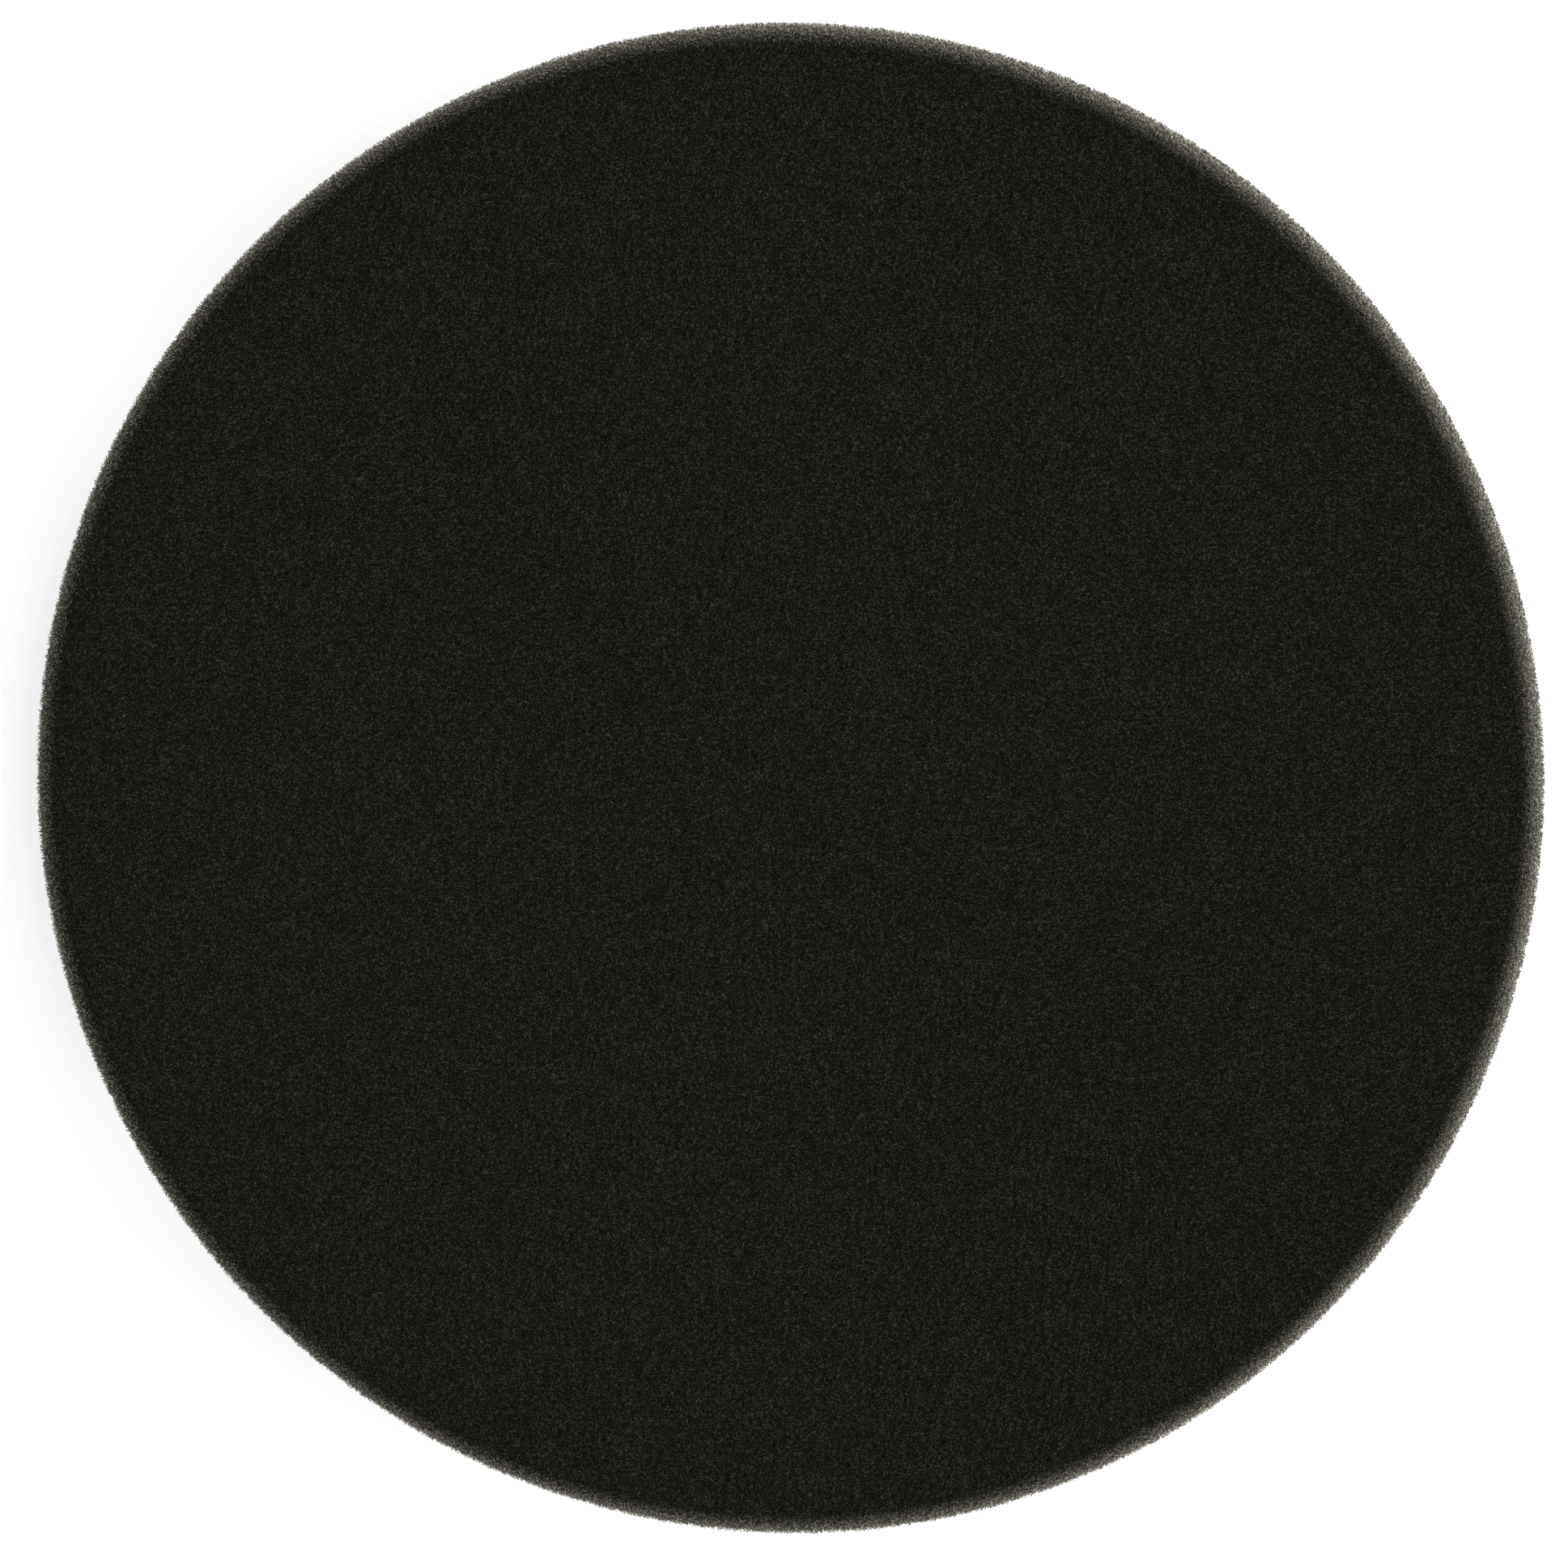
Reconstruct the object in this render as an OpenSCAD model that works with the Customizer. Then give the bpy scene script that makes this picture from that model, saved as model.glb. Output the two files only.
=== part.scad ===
// Foam polishing pad: an open-cell foam disc on a hook-and-loop backing.
// The pad lies on its loop face at z = 0, with the polishing face up.

/* [Pad] */
// Diameter of the foam disc
pad_d = 150; // [80:1:200]
// Height of the whole pad, from the loop tips to the polishing face
pad_h = 25; // [15:1:50]

/* [Foam] */
// Radius of the rounding round the polishing face
face_edge_r = 2.5; // [0.5:0.1:5]
// Radius of the rounding where the foam meets the backing
back_edge_r = 0.5; // [0.2:0.1:1.5]

/* [Backing] */
// How far the backing stops short of the foam's edge
backing_inset = 0.5; // [0.2:0.1:8]
// Thickness of the hot-melt film that bonds the foam to the cloth
glue_t = 0.2; // [0.1:0.05:0.4]
// Thickness of the knitted ground cloth
cloth_t = 0.5; // [0.3:0.1:1]
// Height of the loops under the ground cloth
pile_h = 1.3; // [0.8:0.1:2.5]

/* [Hidden] */
$fn = 180;

pad_r = pad_d / 2;
backing_r = pad_r - backing_inset;

// Each layer lies on the one below it.
cloth_z = pile_h;
glue_z = cloth_z + cloth_t;
foam_z = glue_z + glue_t;
foam_h = pad_h - foam_z;

// Half section of a disc with its lower and upper edges rounded
module disc_section(r, h, lower_r, upper_r) {
    translate([0, lower_r])
        square([r, h - lower_r - upper_r]);
    square([r - lower_r, h / 2]);
    translate([0, h / 2])
        square([r - upper_r, h / 2]);
    translate([r - lower_r, lower_r])
        circle(r = lower_r);
    translate([r - upper_r, h - upper_r])
        circle(r = upper_r);
}

// Flat round layer of the backing
module backing_layer(z, thickness) {
    translate([0, 0, z])
        cylinder(r = backing_r, h = thickness);
}

// Open-cell foam, die-cut to a disc
module foam_disc() {
    color("#1b1a17")
        translate([0, 0, foam_z])
            rotate_extrude()
                disc_section(pad_r, foam_h, back_edge_r, face_edge_r);
}

// Hot-melt adhesive between the foam and the cloth
module glue_film() {
    color("#6b655c")
        backing_layer(glue_z, glue_t);
}

// Knitted cloth that carries the loops
module backing_cloth() {
    color("#2c2c2f")
        backing_layer(cloth_z, cloth_t);
}

// Loops that the hooks of the machine's backing plate grip
module loop_pile() {
    color("#414145")
        backing_layer(0, pile_h);
}

foam_disc();
glue_film();
backing_cloth();
loop_pile();
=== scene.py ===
"""Looks of a foam polishing pad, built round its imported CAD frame. Lengths are in metres."""

import math

import bpy
import numpy as np
from mathutils import Matrix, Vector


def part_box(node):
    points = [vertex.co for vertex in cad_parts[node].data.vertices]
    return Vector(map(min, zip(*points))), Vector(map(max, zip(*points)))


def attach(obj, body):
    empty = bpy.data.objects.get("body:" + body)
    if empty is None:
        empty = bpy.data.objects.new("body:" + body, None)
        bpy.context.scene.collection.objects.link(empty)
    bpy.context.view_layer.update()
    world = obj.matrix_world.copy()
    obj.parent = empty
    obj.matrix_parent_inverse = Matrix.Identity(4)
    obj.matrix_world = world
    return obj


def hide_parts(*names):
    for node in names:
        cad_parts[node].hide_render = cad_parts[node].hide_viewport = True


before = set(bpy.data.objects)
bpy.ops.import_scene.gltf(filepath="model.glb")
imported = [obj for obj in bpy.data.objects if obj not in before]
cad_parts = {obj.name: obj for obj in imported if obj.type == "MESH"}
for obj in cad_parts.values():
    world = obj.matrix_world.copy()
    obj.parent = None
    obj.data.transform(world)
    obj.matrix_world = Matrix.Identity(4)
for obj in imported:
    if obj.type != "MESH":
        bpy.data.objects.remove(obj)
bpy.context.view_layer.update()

MM = 0.001

# The layers, from the frame: the foam on its glue, the glue on the cloth, the cloth on the loops.
foam_low, foam_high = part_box("foam_disc")
glue_low, glue_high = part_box("glue_film")
cloth_low, cloth_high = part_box("backing_cloth")
pile_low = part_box("loop_pile")[0]

PAD_R = foam_high.x
BACKING_R = cloth_high.x

# Foam
FACE_EDGE_R = 2.5 * MM  # rounding round the polishing face
BACK_EDGE_R = 0.5 * MM  # rounding where the foam meets the backing
WALL_BOW = 0.35 * MM  # how far the middle of the wall stands in, from the cut
FOAM_ROWS = 480  # grid lines across the face, about 0.3 mm apart
FACE_EDGE_STEPS = 24  # points over the rounding of the face
WALL_STEPS = 88  # points down the wall
BACK_EDGE_STEPS = 6  # points round the rounding at the back
NUDGE = 0.55  # how far a point of the skin strays sideways, as a share of the grid's spacing
CELL = 0.36 * MM  # width of one foam cell
CELL_DEPTH = 0.12 * MM  # from the cells' walls to their middles
CLUMP = 0.95 * MM  # width of a group of cells that stands a little higher or lower
CLUMP_DEPTH = 0.04 * MM  # from the groups' borders to their middles
GRAIN_DEPTH = 0.1 * MM  # how deep single points of the skin lie, at most
PIT_DEPTH = 0.3 * MM  # depth at which the material takes a point for the bottom of a pit, which it darkens most with painted shade
EDGE_POWER = 2.1  # how late on the rounding the painted sheen makes the foam paler
WALL_FADE = 8 * MM  # height over which the painted sheen fades down the wall
LOW_WALL = 0.2  # how much of the painted sheen the lower wall keeps, as a share of its top
# Struts torn by the cut, which stand out of the foam's skin
STRUTS = 16000  # in each piece of them
STRUT_PARTS = 2
STRUT_SPAN = (0.15, 1.05)  # the stretch that they stand on, as shares of the rounding
LOWER_STRUTS = 0.4  # share of them that is on the wall
STRUT_FADE = 2.2 * MM  # distance down the wall over which those thin out
STRUT_ROOT = 0.18 * MM  # how deep in the foam they start
STRUT_REACH = (0.12 * MM, 0.42 * MM)  # from foot to end, along the foam
STRUT_RISE = (0.1 * MM, 0.5 * MM)  # how far they bend out
STRUT_END = (-0.15 * MM, 0.2 * MM)  # how far their ends stand out
STRUT_SWERVE = 0.15 * MM  # how far they bend to a side, at most
STRUT_THICKNESS = (0.03 * MM, 0.048 * MM)  # from a strut's middle to its surface
DARK_FROM = math.radians(79)  # slope of the rounding past which they get less painted sheen, wall included
DARK_PALE = 0.3  # how much painted sheen those keep, as a share of the foam beside them
# Backing
GLUE_BACK = 0.15 * MM  # how far the glue stops short of the cloth's edge
GLUE_ROWS = 72  # grid lines across the glue
GLUE_WANDER = 0.16 * MM  # unevenness of its edge
WALE = 0.95 * MM  # from one column of stitches to the next
WALE_RELIEF = 0.03 * MM  # how far a column stands out
COURSE = 0.7 * MM  # from one row of stitches to the next
COURSE_RELIEF = 0.02 * MM  # how far a row stands out
CLOTH_ROWS = 200  # grid lines across the cloth
CLOTH_WANDER = 0.07 * MM  # unevenness of its edge
LOOP_PITCH = 0.95 * MM  # from one loop to the next
LOOP_SCATTER = 0.16  # how far a loop is off its place, as a share of the pitch
LOOP_INSET = 0.35 * MM  # how far the outermost loops' places are from the cloth's edge
LOOP_OUT = 0.1 * MM  # how far a leaning loop may reach past that edge
LOOP_ROOT = 0.15 * MM  # how deep in the cloth a loop's ends are
LOOP_OPENING = math.radians(125)
LOOP_STOPS = 6  # points along a loop
LOOP_HALF_WIDTH = (0.3 * MM, 0.6 * MM)
LOOP_LEAN = (0.4 * MM, 1.4 * MM)  # how far its lowest point is from under its place
LOOP_SHORT = 0.5 * MM  # how much higher than the pile's underside a loop may end
LOOP_THICKNESS = (0.07 * MM, 0.1 * MM)  # from the yarn's middle to its surface
LOOP_PARTS = 3  # pieces that the pile is made of


# ---------------------------------------------------------------- meshes


def make_mesh(name, points, polygons, material):
    """A smooth mesh object from an (n, 3) array of points and a list of (m, k) index arrays."""
    mesh = bpy.data.meshes.new(name)
    corners = np.concatenate([p.ravel() for p in polygons]).astype(np.int32)
    sizes = np.concatenate([np.full(len(p), p.shape[1]) for p in polygons])
    mesh.vertices.add(len(points))
    mesh.vertices.foreach_set("co", points.astype(np.float32).ravel())
    mesh.loops.add(len(corners))
    mesh.loops.foreach_set("vertex_index", corners)
    mesh.polygons.add(len(sizes))
    mesh.polygons.foreach_set("loop_start", (np.cumsum(sizes) - sizes).astype(np.int32))
    mesh.polygons.foreach_set("use_smooth", np.ones(len(sizes), bool))
    mesh.update(calc_edges=True)
    mesh.validate()
    mesh.materials.append(material)
    piece = bpy.data.objects.new(name, mesh)
    bpy.context.scene.collection.objects.link(piece)
    return piece


def give_attribute(piece, name, values):
    """Stores one number for each of a piece's points, which its material reads by name."""
    attribute = piece.data.attributes.new(name, "FLOAT", "POINT")
    attribute.data.foreach_set("value", values.astype(np.float32))


def disc_map(rows):
    """A square grid carried onto the unit disc, as arrays x and y of rows + 1 by rows + 1.

    The grid point (a, b), each from -1 to 1, keeps its larger coordinate as its radius. The smaller
    over the larger one, times an eighth of a turn, is its angle from that coordinate's axis, so
    squares become rings, and the cells have nearly one size all over the disc.
    """
    line = np.linspace(-1, 1, rows + 1)
    a, b = np.meshgrid(line, line)
    along_x = np.abs(a) >= np.abs(b)
    radius = np.where(along_x, a, b)
    share = np.where(along_x, b, a) / np.where(radius == 0, 1, radius)
    angle = np.where(along_x, share, 2 - share) * math.pi / 4
    return radius * np.cos(angle), radius * np.sin(angle)


def grid_quads(index, closed=False):
    """The quads between neighbouring rows and columns of an index array.

    closed joins the last column to the first.
    """
    if closed:
        index = np.concatenate([index, index[:, :1]], axis=1)
    return np.stack(
        [index[:-1, :-1], index[:-1, 1:], index[1:, 1:], index[1:, :-1]], axis=-1
    ).reshape(-1, 4)


def rim_of(index):
    """The outer loop of a square index array, counterclockwise from its lowest corner."""
    return np.concatenate([index[0, :-1], index[:-1, -1], index[-1, :0:-1], index[:0:-1, 0]])


def cells(points, width, seed):
    """Cell noise: how far each point is from the nearest and the next nearest cell centre, in widths.

    Space is cut into cubes of the given width. Each holds one centre at a random place, and a point
    is measured against the centres of its own cube and of the 26 round it.
    """
    period = 64
    centres = np.random.default_rng(seed).random((period, period, period, 3), np.float32)
    scaled = (points / width).astype(np.float32)
    cube = np.floor(scaled).astype(np.int32)
    first = np.full(len(points), 9, np.float32)
    second = first.copy()
    steps = np.array([-1, 0, 1])
    for step in np.stack(np.meshgrid(steps, steps, steps), -1).reshape(-1, 3):
        near = cube + step
        wrapped = near % period
        centre = near + centres[wrapped[:, 0], wrapped[:, 1], wrapped[:, 2]]
        far = np.sqrt(((scaled - centre) ** 2).sum(1))
        second = np.minimum(second, np.maximum(first, far))
        first = np.minimum(first, far)
    return first, second


def ridges(points, width, sharpness, seed):
    """1 on the walls between the cells of cell noise, and less towards their middles, down to 0.

    It is 1 less sharpness times the gap between the distances to the two nearest cell centres.
    """
    nearest, next_nearest = cells(points, width, seed)
    return np.clip(1 - (next_nearest - nearest) * sharpness, 0, 1)


def strands(name, line, radius, sides, material):
    """Thin tubes, one along each curve, closed to a point at both ends.

    line is a (stops, n, 3) array of the n curves' stops, each curve in a plane of its own. The first
    and last stops are the points of the tube, and the others carry its rings. radius is a number
    for each curve.
    """
    stops, count = line.shape[:2]
    rings = stops - 2
    body = line[1:-1]
    along = line[2:] - line[:-2]
    along /= np.linalg.norm(along, axis=-1, keepdims=True)
    bend = np.cross(line[stops // 2] - line[0], line[-1] - line[0])
    bend /= np.linalg.norm(bend, axis=-1, keepdims=True)
    across = np.cross(along, np.broadcast_to(bend, along.shape))
    turn = np.arange(sides)[:, None] * 2 * math.pi / sides
    ring = np.cos(turn) * bend[None, :, None] + np.sin(turn) * across[:, :, None]
    ring = body[:, :, None] + radius[None, :, None, None] * ring
    body = ring.transpose(1, 0, 2, 3).reshape(count, rings * sides, 3)
    points = np.concatenate([body, line[0][:, None], line[-1][:, None]], axis=1)
    each = points.shape[1]
    index = np.arange(rings * sides).reshape(rings, sides)
    quads = grid_quads(index, closed=True)
    tip = np.stack([np.roll(index[0], -1), index[0], np.full(sides, each - 2)], axis=-1)
    tail = np.stack([index[-1], np.roll(index[-1], -1), np.full(sides, each - 1)], axis=-1)
    fans = np.concatenate([tip, tail])
    shift = (np.arange(count) * each)[:, None, None]
    polygons = [(quads + shift).reshape(-1, 4), (fans + shift).reshape(-1, 3)]
    return make_mesh(name, points.reshape(-1, 3), polygons, material)


# ---------------------------------------------------------------- materials


class Wire:
    """An output socket of a finish. Arithmetic on it adds Math nodes."""

    def __init__(self, finish, socket):
        self.finish = finish
        self.socket = socket

    def __add__(self, other):
        return self.finish.maths("ADD", self, other)

    def __sub__(self, other):
        return self.finish.maths("SUBTRACT", self, other)

    def __rsub__(self, other):
        return self.finish.maths("SUBTRACT", other, self)

    def __mul__(self, other):
        return self.finish.maths("MULTIPLY", self, other)

    __radd__ = __add__
    __rmul__ = __mul__


class Finish:
    """A material, with the methods that add its nodes."""

    def __init__(self, name):
        self.material = bpy.data.materials.new(name)
        self.material.use_nodes = True
        self.tree = self.material.node_tree
        self.tree.nodes.clear()

    def add(self, kind, settings, inputs, output=0):
        """Adds one node: first its settings, then the values or wires of its sockets."""
        node = self.tree.nodes.new(kind)
        for name, value in settings.items():
            setattr(node, name, value)
        for name, value in inputs.items():
            if isinstance(value, Wire):
                self.tree.links.new(value.socket, node.inputs[name])
            else:
                node.inputs[name].default_value = value
        return Wire(self, node.outputs[output]) if node.outputs else None

    def maths(self, operation, *inputs):
        return self.add("ShaderNodeMath", {"operation": operation}, dict(enumerate(inputs)))

    def place(self):
        return self.add("ShaderNodeTexCoord", {}, {}, "Object")

    def axis(self, place, name):
        """One coordinate of a place: X, Y or Z."""
        return self.add("ShaderNodeSeparateXYZ", {}, {"Vector": place}, name)

    def attribute(self, name):
        return self.add("ShaderNodeAttribute", {"attribute_name": name}, {}, "Fac")

    def noise(self, place, width, detail=2.0, output="Fac"):
        """Soft noise whose patches are about this wide."""
        inputs = {"Vector": place, "Scale": 1 / width, "Detail": detail}
        return self.add("ShaderNodeTexNoise", {}, inputs, output)

    def net(self, place, width):
        """Distance to the walls of a net of random cells of this width: 0 on a wall."""
        settings = {"feature": "DISTANCE_TO_EDGE"}
        inputs = {"Vector": place, "Scale": 1 / width}
        return self.add("ShaderNodeTexVoronoi", settings, inputs, "Distance")

    def shaken(self, place, width, amount):
        """The place, moved by up to half of amount each way by noise of this width."""
        colour = self.noise(place, width, output="Color")
        centred = self.add(
            "ShaderNodeVectorMath", {"operation": "SUBTRACT"}, {0: colour, 1: (0.5, 0.5, 0.5)}
        )
        scaled = self.add(
            "ShaderNodeVectorMath", {"operation": "SCALE"}, {0: centred, "Scale": amount}
        )
        return self.add("ShaderNodeVectorMath", {"operation": "ADD"}, {0: place, 1: scaled})

    def ramp(self, value, low, high, low_to=0.0, high_to=1.0):
        """low..high carried smoothly onto low_to..high_to."""
        settings = {"interpolation_type": "SMOOTHSTEP"}
        inputs = {"Value": value, 1: low, 2: high, 3: low_to, 4: high_to}
        return self.add("ShaderNodeMapRange", settings, inputs)

    def mix(self, share, first, second):
        """A colour between first, at 0, and second, at 1."""
        return self.add("ShaderNodeMix", {"data_type": "RGBA"}, {0: share, 6: first, 7: second}, 2)

    def bump(self, height, depth, strength=1.0):
        inputs = {"Height": height, "Distance": depth, "Strength": strength}
        return self.add("ShaderNodeBump", {}, inputs)

    def surface(self, **sockets):
        """The shader itself. A socket's name is written with _ for a space."""
        inputs = {name.replace("_", " "): value for name, value in sockets.items()}
        shader = self.add("ShaderNodeBsdfPrincipled", {}, inputs)
        self.add("ShaderNodeOutputMaterial", {}, {"Surface": shader})
        return self.material


def grey(level, warmth=0.0):
    """A grey of this linear level, with red raised and blue lowered by the share warmth."""
    return (level * (1 + warmth), level, level * (1 - warmth), 1.0)


def soot(level):
    """The foam's warm black, at this linear level."""
    return (level * 1.05, level, level * 0.83, 1.0)


def foam_finish():
    """Open-cell foam: short pale struts round near-black cells, over a dimmer net deeper in.

    The rounding and the top of the wall are painted paler, a painted sheen for the light that they
    catch at a slant.
    """
    f = Finish("black_open_cell_foam")
    place = f.place()
    # edge: how much painted sheen each point takes, for the light that the rounding catches at a slant
    edge = f.attribute("edge")
    curled = f.shaken(place, 0.2 * MM, 0.18 * MM)
    strut = f.ramp(f.net(curled, 0.235 * MM), 0.02, 0.24, 1.0, 0.0)
    broken = f.ramp(f.noise(place, 0.17 * MM, detail=1.0), 0.38, 0.8)
    deep = f.ramp(f.noise(f.shaken(place, 0.5 * MM, 0.6 * MM), 0.14 * MM, detail=1.0), 0.5, 0.7)
    share = strut * (broken * 0.95 + 0.05) + deep * (1 - strut) * 0.15
    mottle = f.ramp(f.noise(place, 4 * MM, detail=3.0), 0.3, 0.7, 0.93, 1.07)
    # painted shade: the deeper a point of the skin lies in a pit, the darker it is coloured
    shown = share * (1 - f.attribute("pit") * 0.6) * mottle
    face = f.mix(shown, soot(0.0017), soot(0.0285))
    # painted sheen: the paler colour of the rounding and the wall's top
    cut = f.mix(shown, soot(0.019), soot(0.27))
    normal = f.bump(strut * (0.4 + broken * 0.6), 0.06 * MM, 0.6)
    return f.surface(
        Base_Color=f.mix(edge, face, cut),
        Roughness=0.7,
        Specular_IOR_Level=0.0,
        Sheen_Weight=0.03,
        Sheen_Roughness=0.4,
        Sheen_Tint=soot(0.9),
        Normal=normal,
    )


def strut_finish():
    """The cut struts at the foam's edge: black, and paler on the rounding by painted sheen, each in its
    own tone.
    """
    f = Finish("black_foam_struts")
    tone = f.attribute("tone")
    face = f.mix(tone, soot(0.002), soot(0.012))
    # painted sheen: the paler colour of the struts on the rounding
    cut = f.mix(tone, soot(0.12), soot(0.39))
    return f.surface(
        Base_Color=f.mix(f.attribute("edge"), face, cut),
        Roughness=0.6,
        Specular_IOR_Level=0.02,
        Sheen_Weight=0.03,
        Sheen_Roughness=0.45,
        Sheen_Tint=soot(0.9),
    )


def cloth_finish():
    """Knitted nylon: columns of V-shaped stitches across X, with painted shade in the gaps between
    them.
    """
    f = Finish("charcoal_knit")
    place = f.shaken(f.place(), 1.2 * MM, 0.12 * MM)
    column = f.maths("PINGPONG", f.axis(place, "X"), WALE / 2)
    slanted = f.axis(place, "Y") + column * 0.8
    stitch = f.maths("SINE", slanted * (2 * math.pi / COURSE))
    ridge = f.ramp(stitch, -0.7, 0.5) * f.ramp(column, 0.03 * WALE, 0.14 * WALE)
    fibre = f.noise(f.place(), 0.09 * MM, detail=3.0)
    # painted shade: darker in the gaps between the stitches
    colour = f.mix(ridge * (0.5 + fibre * 0.5), grey(0.005), grey(0.032))
    normal = f.bump(ridge + fibre * 0.3, 0.12 * MM)
    rough = f.ramp(fibre, 0.3, 0.7, 0.7, 0.9)
    return f.surface(Base_Color=colour, Roughness=rough, Specular_IOR_Level=0.2, Normal=normal)


def loop_finish():
    """Brushed nylon loops: fine filaments along the yarn, paler towards the tips and darker towards the
    cloth.
    """
    f = Finish("charcoal_loops")
    place = f.place()
    tip = f.ramp(f.axis(place, "Z"), 0.2 * MM, 1.2 * MM, 1.0, 0.0)
    strand = f.noise(place, 0.07 * MM, detail=2.0)
    patch = f.noise(place, 6 * MM, detail=3.0)
    share = tip * 0.5 + strand * 0.3 + patch * 0.2
    return f.surface(
        Base_Color=f.mix(share, grey(0.004), grey(0.045)),
        Roughness=f.ramp(strand, 0.3, 0.7, 0.45, 0.7),
        Specular_IOR_Level=0.3,
        Sheen_Weight=0.15,
        Sheen_Roughness=0.4,
        Normal=f.bump(strand, 0.03 * MM, 0.6),
    )


def glue_finish():
    """Hot-melt adhesive: smooth, with soft paler streaks where it lies thicker."""
    f = Finish("hot_melt_glue")
    streak = f.noise(f.place(), 2 * MM, detail=3.0)
    colour = f.mix(streak, grey(0.03, 0.1), grey(0.09, 0.15))
    return f.surface(Base_Color=colour, Roughness=0.35, Specular_IOR_Level=0.4)


# ---------------------------------------------------------------- pieces


def wall_bow(height):
    """How far the wall stands in at a height: a squared sine between the two roundings."""
    foot = foam_low.z + BACK_EDGE_R
    top = foam_high.z - FACE_EDGE_R
    share = np.clip((height - foot) / (top - foot), 0, 1)
    return WALL_BOW * np.sin(math.pi * share) ** 2


def foam_section():
    """The foam's outline: from the edge of the flat face down the wall and in under the foam.

    Returns radius, height and the normal's angle from +Z. Both roundings are quarter circles.
    """
    over = np.linspace(0, math.pi / 2, FACE_EDGE_STEPS)[1:]
    flat_r = PAD_R - FACE_EDGE_R
    back_r = PAD_R - BACK_EDGE_R
    wall_top = foam_high.z - FACE_EDGE_R
    wall_foot = foam_low.z + BACK_EDGE_R
    wall = np.linspace(wall_top, wall_foot, WALL_STEPS)[1:]
    under = np.linspace(math.pi / 2, math.pi, BACK_EDGE_STEPS)[1:]
    back = np.array([0.985, 0.96, 0.9, 0.6, 0.2])  # rings under the foam, as shares of its radius
    radius = np.concatenate([
        flat_r + FACE_EDGE_R * np.sin(over),
        PAD_R - wall_bow(wall),
        back_r + BACK_EDGE_R * np.sin(under),
        back_r * back,
    ])
    height = np.concatenate([
        wall_top + FACE_EDGE_R * np.cos(over),
        wall,
        wall_foot + BACK_EDGE_R * np.cos(under),
        np.full(len(back), foam_low.z),
    ])
    tilt = np.concatenate([
        over,
        np.full(len(wall), math.pi / 2),
        under,
        np.full(len(back), math.pi),
    ])
    return radius, height, tilt


def painted_rim_sheen(points):
    """How much painted sheen each point of the foam takes: 0 on the face, 1 at the wall's top.

    It is the sine of the rounding's slope to the power EDGE_POWER, and eases to LOW_WALL lower down.
    """
    radius = np.hypot(points[:, 0], points[:, 1])
    sine = np.clip((radius - (PAD_R - FACE_EDGE_R)) / FACE_EDGE_R, 0, 1)
    down = np.clip((foam_high.z - FACE_EDGE_R - points[:, 2]) / WALL_FADE, 0, 1)
    down = down * down * (3 - 2 * down)
    return sine**EDGE_POWER * (1 - (1 - LOW_WALL) * down)


def make_foam(material):
    """The foam's skin: a grid over the face, and rings from its edge down the wall and under the foam.

    Each point moves in along its normal by cell noise, so that the skin has pits and standing
    struts, and the pit's depth is kept for the material, which darkens the pits with painted shade.
    """
    random = np.random.default_rng(3)
    x, y = disc_map(FOAM_ROWS)
    flat_r = PAD_R - FACE_EDGE_R
    face_index = np.arange(x.size).reshape(x.shape)
    face = np.stack([x * flat_r, y * flat_r, np.full(x.shape, foam_high.z)], axis=-1).reshape(-1, 3)
    rim = rim_of(face_index)
    angle = np.arctan2(face[rim, 1], face[rim, 0])
    radius, height, tilt = foam_section()
    around = np.stack([np.cos(angle), np.sin(angle)], axis=-1)
    skirt = np.concatenate([
        radius[:, None, None] * around,
        np.broadcast_to(height[:, None, None], (len(radius), len(angle), 1)),
    ], axis=-1)
    skirt_out = np.concatenate([
        np.sin(tilt)[:, None, None] * around,
        np.broadcast_to(np.cos(tilt)[:, None, None], (len(radius), len(angle), 1)),
    ], axis=-1)
    pole = np.array([[0, 0, foam_low.z]])
    points = np.concatenate([face, skirt.reshape(-1, 3), pole])
    out = np.concatenate([
        np.broadcast_to([0.0, 0.0, 1.0], face.shape),
        skirt_out.reshape(-1, 3),
        [[0.0, 0.0, -1.0]],
    ])
    spacing = 2 * flat_r / FOAM_ROWS
    exposed = np.clip((points[:, 2] - foam_low.z) / (2 * BACK_EDGE_R), 0, 1)
    nudge = (random.random(points.shape) - 0.5) * NUDGE * spacing
    nudge -= (nudge * out).sum(1, keepdims=True) * out
    points = points + nudge * exposed[:, None]
    clump = ridges(points, CLUMP, sharpness=2.2, seed=11)
    fine = ridges(points, CELL, sharpness=2.0, seed=12)
    grain = random.random(len(points))
    depth = CLUMP_DEPTH * (1 - clump) * grain**0.5 + CELL_DEPTH * (1 - fine) + GRAIN_DEPTH * grain
    points = points - out * (depth * exposed)[:, None]
    skirt_index = face.shape[0] + np.arange(skirt.shape[0] * skirt.shape[1])
    skirt_index = skirt_index.reshape(skirt.shape[:2])
    rings = np.concatenate([rim[None], skirt_index])
    last = skirt_index[-1]
    fan = np.stack([np.roll(last, -1), last, np.full(len(last), len(points) - 1)], axis=-1)
    polygons = [grid_quads(face_index), grid_quads(rings[::-1], closed=True), fan]
    foam = make_mesh("foam", points, polygons, material)
    # painted shade: how deep each point lies in its pit, for the material to darken it
    give_attribute(foam, "pit", np.clip(depth / PIT_DEPTH, 0, 1) * exposed)
    # painted rim sheen: how much paler colour each point takes
    give_attribute(foam, "edge", painted_rim_sheen(points + out * (depth * exposed)[:, None]))
    return foam


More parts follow.
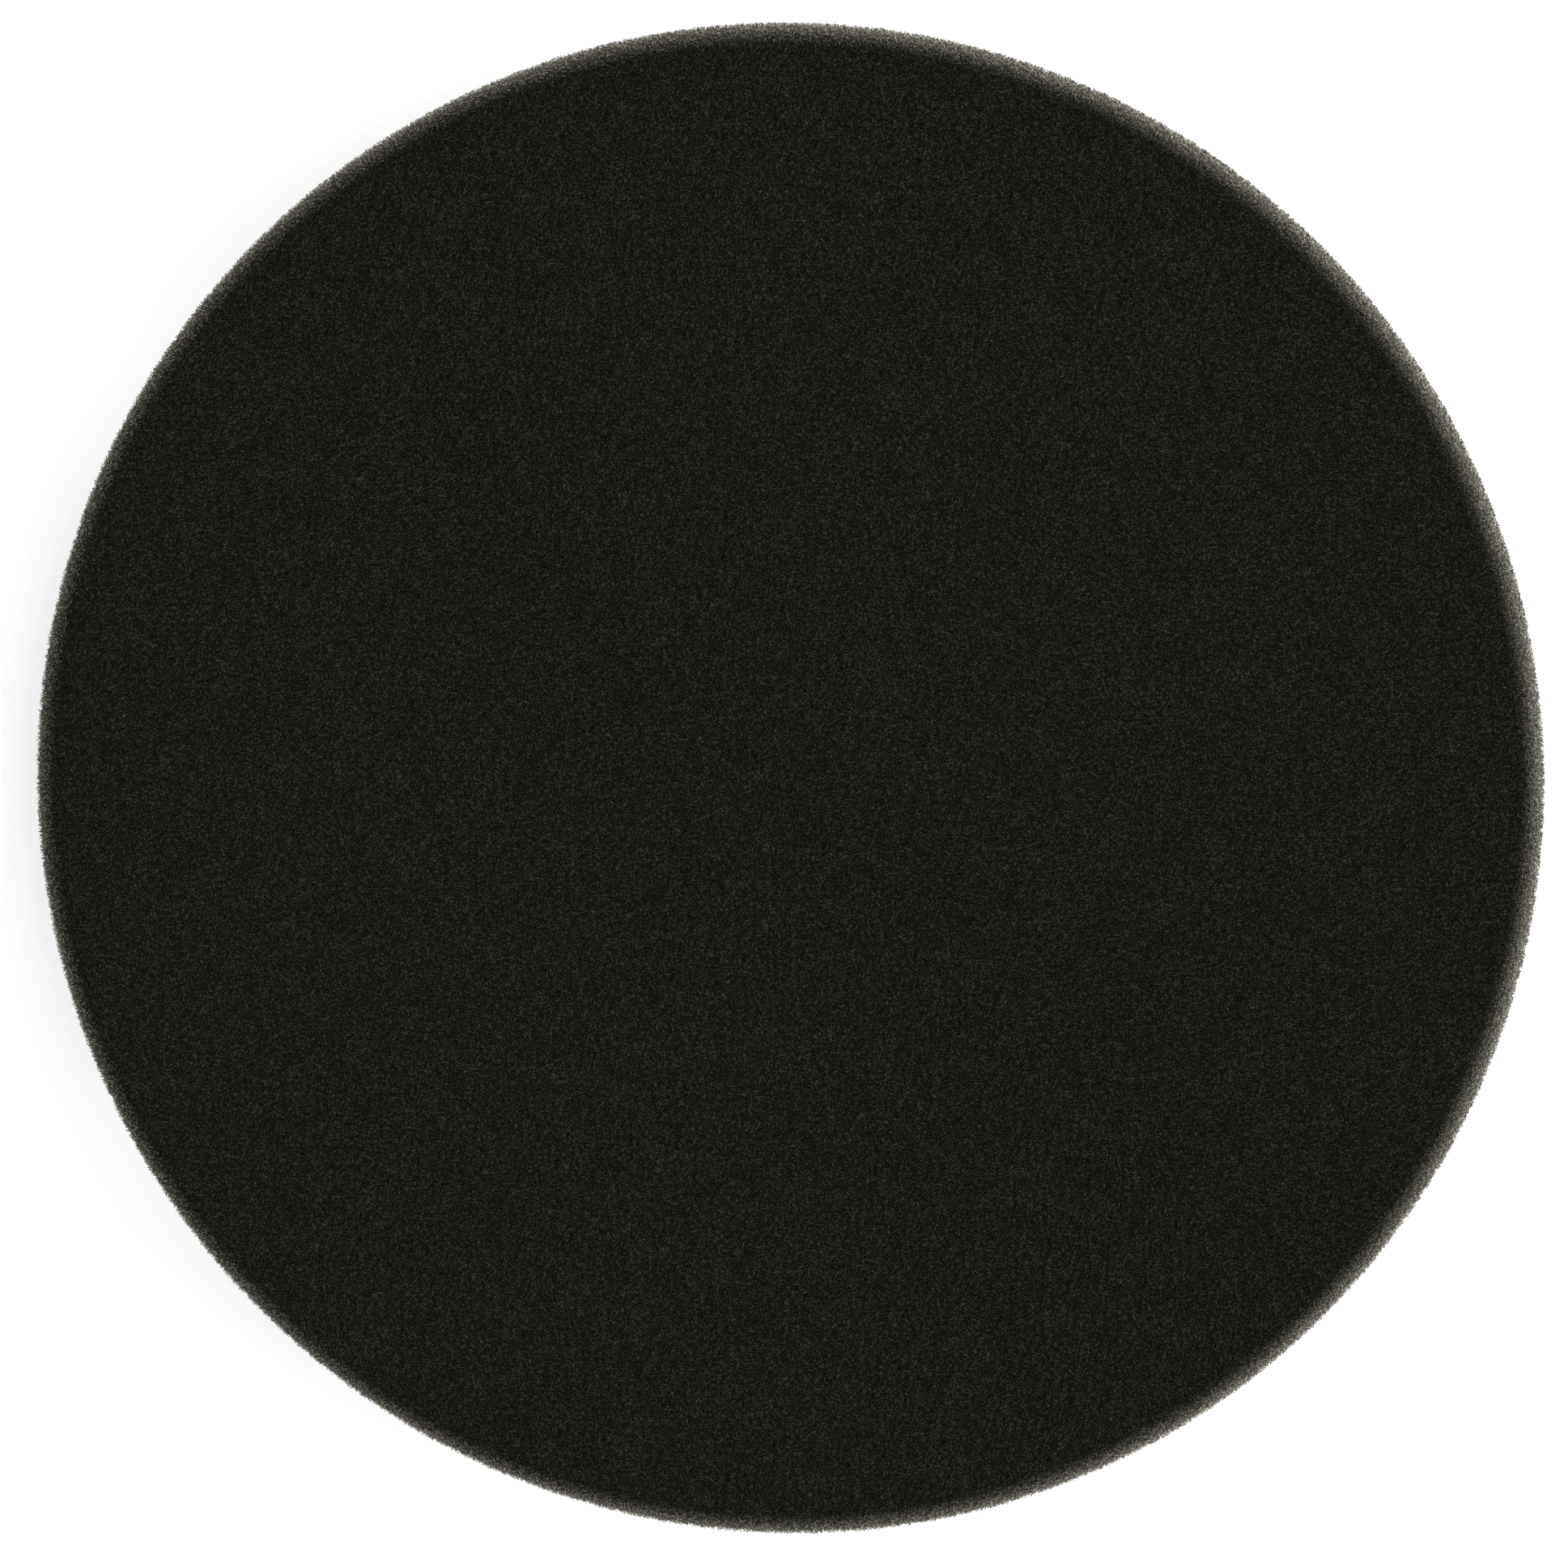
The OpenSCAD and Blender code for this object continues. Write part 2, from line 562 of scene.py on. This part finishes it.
def make_struts(number, material):
    """Bent ends of cut struts, strewn over the rounding's outer part and a little way down the wall.

    Each is a tube along the curve (1-t)^2 start + 2t(1-t) middle + t^2 end, with t from 0 to 1.
    """
    random = np.random.default_rng(50 + number)
    quarter = FACE_EDGE_R * math.pi / 2
    along = quarter * random.uniform(*STRUT_SPAN, STRUTS)
    lower = random.random(STRUTS) < LOWER_STRUTS
    along = np.where(lower, quarter + random.exponential(STRUT_FADE, STRUTS), along)
    turn = random.uniform(0, 2 * math.pi, STRUTS)
    tilt = np.clip(along, 0, quarter) / FACE_EDGE_R
    down = np.maximum(along - quarter, 0)
    radius = PAD_R - FACE_EDGE_R + FACE_EDGE_R * np.sin(tilt)
    height = foam_high.z - FACE_EDGE_R + FACE_EDGE_R * np.cos(tilt) - down
    radius -= wall_bow(height)
    round_x = np.cos(turn)
    round_y = np.sin(turn)
    foot = np.stack([radius * round_x, radius * round_y, height], axis=-1)
    out = np.stack([np.sin(tilt) * round_x, np.sin(tilt) * round_y, np.cos(tilt)], axis=-1)
    lean = random.normal(size=foot.shape)
    lean -= (lean * out).sum(1, keepdims=True) * out
    lean /= np.linalg.norm(lean, axis=1, keepdims=True)
    swerve = np.cross(out, lean)
    reach = random.uniform(*STRUT_REACH, (STRUTS, 1))
    rise = random.uniform(*STRUT_RISE, (STRUTS, 1))
    last_rise = random.uniform(*STRUT_END, (STRUTS, 1))
    side = random.uniform(-STRUT_SWERVE, STRUT_SWERVE, (STRUTS, 1))
    start = foot - out * STRUT_ROOT
    middle = foot + out * rise + lean * reach * 0.4 + swerve * side
    end = foot + out * last_rise + lean * reach
    t = np.array([0, 0.25, 0.75, 1])[:, None, None]
    line = (1 - t) ** 2 * start + 2 * t * (1 - t) * middle + t**2 * end
    thickness = random.uniform(*STRUT_THICKNESS, STRUTS)
    piece = strands(f"foam_struts_{number + 1}", line, thickness, 3, material)
    each = len(piece.data.vertices) // STRUTS
    # painted rim sheen for each strut, with less of it past DARK_FROM
    pale = painted_rim_sheen(foot) * np.where(tilt > DARK_FROM, DARK_PALE, 1)
    give_attribute(piece, "edge", np.repeat(pale, each))
    give_attribute(piece, "tone", np.repeat(random.random(STRUTS), each))
    return piece


def disc_slab(name, rows, section, wander, material, low_relief=None):
    """A closed round slab: a grid over its underside, rings up its edge and in over its top, and a fan.

    section holds three arrays, for the grid's edge and then for each ring: the radius, the height
    and the share of wander, a function of angle that makes the edge uneven. Inwards over the grid,
    that unevenness falls with the 8th power of the radius. low_relief is a function of the grid's
    points that gives how far each is raised.
    """
    x, y = disc_map(rows)
    grid = np.stack([x, y, np.zeros_like(x)], axis=-1).reshape(-1, 3)
    index = np.arange(x.size).reshape(x.shape)
    rim = rim_of(index)
    angle = np.arctan2(grid[rim, 1], grid[rim, 0])
    uneven = wander(angle)
    radius, height, share = section
    under = grid * [radius[0], radius[0], 1]
    under[:, 2] = height[0]
    spread = np.hypot(grid[:, 0], grid[:, 1]) ** 8
    shift = np.interp(np.arctan2(grid[:, 1], grid[:, 0]), *sorted_pairs(angle, uneven))
    under[:, :2] *= (1 + spread * shift * share[0] / radius[0])[:, None]
    if low_relief is not None:
        under[:, 2] += low_relief(under)
    around = np.stack([np.cos(angle), np.sin(angle)], axis=-1)
    reach = radius[1:, None] + share[1:, None] * uneven
    rings = np.concatenate([
        reach[..., None] * around,
        np.broadcast_to(height[1:, None, None], reach.shape + (1,)),
    ], axis=-1)
    points = np.concatenate([under, rings.reshape(-1, 3), [[0, 0, height[-1]]]])
    ring_index = len(under) + np.arange(reach.size).reshape(reach.shape)
    ring_index = np.concatenate([rim[None], ring_index])
    last = ring_index[-1]
    fan = np.stack([last, np.roll(last, -1), np.full(len(last), len(points) - 1)], axis=-1)
    sides = grid_quads(ring_index, closed=True)
    return make_mesh(name, points, [grid_quads(index)[:, ::-1], sides, fan], material)


def sorted_pairs(keys, values):
    """Both arrays in the order of the keys, for np.interp."""
    order = np.argsort(keys)
    return keys[order], values[order]


def wobble(seed, amount):
    """An uneven edge: a function of angle, the sum of sines of growing frequency and falling height."""
    random = np.random.default_rng(seed)
    turns = np.array([3, 7, 13, 24, 41, 67, 110, 173])
    phase = random.uniform(0, 2 * math.pi, len(turns))
    height = amount / turns**0.35

    def edge(angle):
        return (height * np.sin(angle[:, None] * turns + phase)).sum(1)

    return edge


def make_glue(material):
    """Hot-melt film: a thin slab whose edge bulges where it was pressed out."""
    over = np.linspace(-math.pi / 2, math.pi / 2, 7)
    half = (glue_high.z - glue_low.z) / 2
    bulge = BACKING_R - GLUE_BACK - half
    radius = np.concatenate([bulge + half * np.cos(over), [bulge * 0.9, bulge * 0.5]])
    height = np.concatenate([glue_low.z + half + half * np.sin(over), [glue_high.z] * 2])
    share = np.concatenate([np.ones(len(over)), [0, 0]])
    section = (radius, height, share)
    return disc_slab("glue", GLUE_ROWS, section, wobble(21, GLUE_WANDER), material)


def knit_relief(points):
    """The ground cloth's underside: columns of stitches across X, staggered like bricks along Y."""
    column = np.cos(2 * math.pi * points[:, 0] / WALE)
    course = np.cos(2 * math.pi * points[:, 1] / COURSE + math.pi * (column > 0))
    return WALE_RELIEF * column + COURSE_RELIEF * course


def make_cloth(material):
    """Knitted ground cloth, die-cut to a disc, with a slightly frayed and rounded edge."""
    over = np.linspace(-math.pi / 2, math.pi / 2, 6)
    half = (cloth_high.z - cloth_low.z) / 2
    edge_r = 0.6 * half
    body = BACKING_R - edge_r
    radius = np.concatenate([body + edge_r * np.cos(over), [body * 0.93, body * 0.5]])
    height = np.concatenate([cloth_low.z + half + half * np.sin(over), [cloth_high.z] * 2])
    share = np.concatenate([np.ones(len(over)), [0, 0]])
    section = (radius, height, share)
    edge = wobble(22, CLOTH_WANDER)
    return disc_slab("backing_knit", CLOTH_ROWS, section, edge, material, knit_relief)


def make_loops(material):
    """The loop pile: an arch of yarn from every stitch, leaning with the brushing.

    A loop's stops lie on an ellipse, from LOOP_OPENING on one side of its lowest point to as much on
    the other. Its two ends are inside the cloth. It leans in proportion to its drop, nearly square
    to its own width, so that it shows as an open arch from below. The loops are in LOOP_PARTS
    sectors, and the way that they are brushed is a sum of slow waves across the pad.
    """
    random = np.random.default_rng(8)
    rows = int(2 * BACKING_R / LOOP_PITCH)
    line = (np.arange(rows) - (rows - 1) / 2) * LOOP_PITCH
    x, y = np.meshgrid(line, line)
    x = x + (np.arange(rows)[:, None] % 2 - 0.5) * LOOP_PITCH / 2
    foot = np.stack([x.ravel(), y.ravel()], axis=-1)
    foot += random.normal(scale=LOOP_SCATTER * LOOP_PITCH, size=foot.shape)
    foot = foot[np.hypot(foot[:, 0], foot[:, 1]) < BACKING_R - LOOP_INSET]
    foot = foot[np.argsort(np.arctan2(foot[:, 1], foot[:, 0]))]
    count = len(foot)
    thickness = random.uniform(*LOOP_THICKNESS, count)
    bottom = pile_low.z + thickness + random.uniform(0, 1, count) ** 2 * LOOP_SHORT
    brushed = 0.9 * np.sin(foot[:, 0] / (13 * MM)) + 0.9 * np.cos(foot[:, 1] / (11 * MM) + 1)
    lean_turn = brushed + random.normal(scale=0.8, size=count)
    turn = lean_turn + math.pi / 2 + random.normal(scale=0.4, size=count)
    lean = np.stack([np.cos(lean_turn), np.sin(lean_turn), np.zeros(count)], axis=-1)
    lean *= random.uniform(*LOOP_LEAN, (count, 1))
    across = np.stack([np.cos(turn), np.sin(turn), np.zeros(count)], axis=-1)
    across *= random.uniform(*LOOP_HALF_WIDTH, (count, 1))
    root = cloth_low.z + LOOP_ROOT
    angle = np.linspace(-LOOP_OPENING, LOOP_OPENING, LOOP_STOPS)[:, None, None]
    drop = np.cos(angle) - math.cos(LOOP_OPENING)
    drop /= drop.max()
    height = root - drop * (root - bottom)[:, None]
    middle = np.concatenate([foot, np.zeros((count, 1))], axis=1)
    path = middle + across * np.sin(angle) + lean * drop + height * np.array([0, 0, 1])
    inside = np.hypot(path[..., 0], path[..., 1]).max(0) < BACKING_R + LOOP_OUT
    path = path[:, inside]
    thickness = thickness[inside]
    pieces = []
    for number, part in enumerate(np.array_split(np.arange(len(thickness)), LOOP_PARTS)):
        name = f"loops_{number + 1}"
        pieces.append(strands(name, path[:, part], thickness[part], 3, material))
    return pieces


foam = make_foam(foam_finish())
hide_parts("foam_disc")

strut_material = strut_finish()
struts = [make_struts(number, strut_material) for number in range(STRUT_PARTS)]

glue = make_glue(glue_finish())
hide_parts("glue_film")

cloth = make_cloth(cloth_finish())
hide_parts("backing_cloth")

loops = make_loops(loop_finish())
for piece in loops:
    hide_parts("loop_pile")

for piece in [foam, glue, cloth, *struts, *loops]:
    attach(piece, "root")

# ---------------------------------------------------------------- stage

CAMERA_FAR = 0.55  # from the middle of the face to the camera
CAMERA_TILT = math.radians(7.5)  # between the pad's axis and the camera
CAMERA_SIDE = math.radians(36)  # the way the camera is off to, from +X
PAD_SHARE = 0.9685  # of the picture's width that the pad takes
AIM = (0.63 * MM, 1.67 * MM)  # what the camera looks at, from the middle of the face
SENSOR = 36.0
FLOOR_HALF = 6.0
FLOOR_TONE = 0.82
WORLD_LIGHT = 0.8
LAMPS = 6  # soft lamps in a ring, low round the pad
LAMP_RISE = math.radians(15)  # of each lamp over the floor
LAMP_POWER = 2.8
LAMP_BIAS = 0.95  # how much stronger the lamps are on one side than on average
LAMP_SIDE = math.radians(8)  # that side, from +X
LAMP_SPREAD = math.radians(50)

face_middle = np.array([0, 0, foam_high.z])
back = np.array([
    math.sin(CAMERA_TILT) * math.cos(CAMERA_SIDE),
    math.sin(CAMERA_TILT) * math.sin(CAMERA_SIDE),
    math.cos(CAMERA_TILT),
])
right = np.cross([0, 1, 0], back)
right /= np.linalg.norm(right)
up = np.cross(back, right)
camera = bpy.data.cameras.new("camera")
camera.sensor_width = SENSOR
camera.lens = SENSOR * CAMERA_FAR * PAD_SHARE / (2 * PAD_R)
camera.clip_start = 0.01
camera.clip_end = 100
camera_object = bpy.data.objects.new("camera", camera)
bpy.context.scene.collection.objects.link(camera_object)
aim = face_middle + AIM[0] * right + AIM[1] * up
spot = aim + back * CAMERA_FAR
matrix = np.eye(4)
matrix[:3, 0] = right
matrix[:3, 1] = up
matrix[:3, 2] = back
matrix[:3, 3] = spot
camera_object.matrix_world = Matrix(matrix.tolist())
bpy.context.scene.camera = camera_object

floor_material = Finish("pale_floor").surface(
    Base_Color=grey(FLOOR_TONE), Roughness=0.9, Specular_IOR_Level=0.0
)
floor_corners = np.array([[-1, -1, 0], [1, -1, 0], [1, 1, 0], [-1, 1, 0]]) * FLOOR_HALF
floor = make_mesh("floor", floor_corners, [np.array([[0, 1, 2, 3]])], floor_material)

world = bpy.data.worlds.new("studio")
world.use_nodes = True
world.node_tree.nodes["Background"].inputs["Color"].default_value = (1, 1, 1, 1)
world.node_tree.nodes["Background"].inputs["Strength"].default_value = WORLD_LIGHT
bpy.context.scene.world = world

for number in range(LAMPS):
    turn = number * 2 * math.pi / LAMPS
    lamp = bpy.data.lights.new("lamp", "SUN")
    lamp.energy = LAMP_POWER * (1 + LAMP_BIAS * math.cos(turn - LAMP_SIDE))
    lamp.angle = LAMP_SPREAD
    lamp_object = bpy.data.objects.new("lamp", lamp)
    lamp_object.rotation_euler = (0, math.pi / 2 - LAMP_RISE, turn)
    bpy.context.scene.collection.objects.link(lamp_object)

bpy.context.scene.view_settings.view_transform = "Standard"
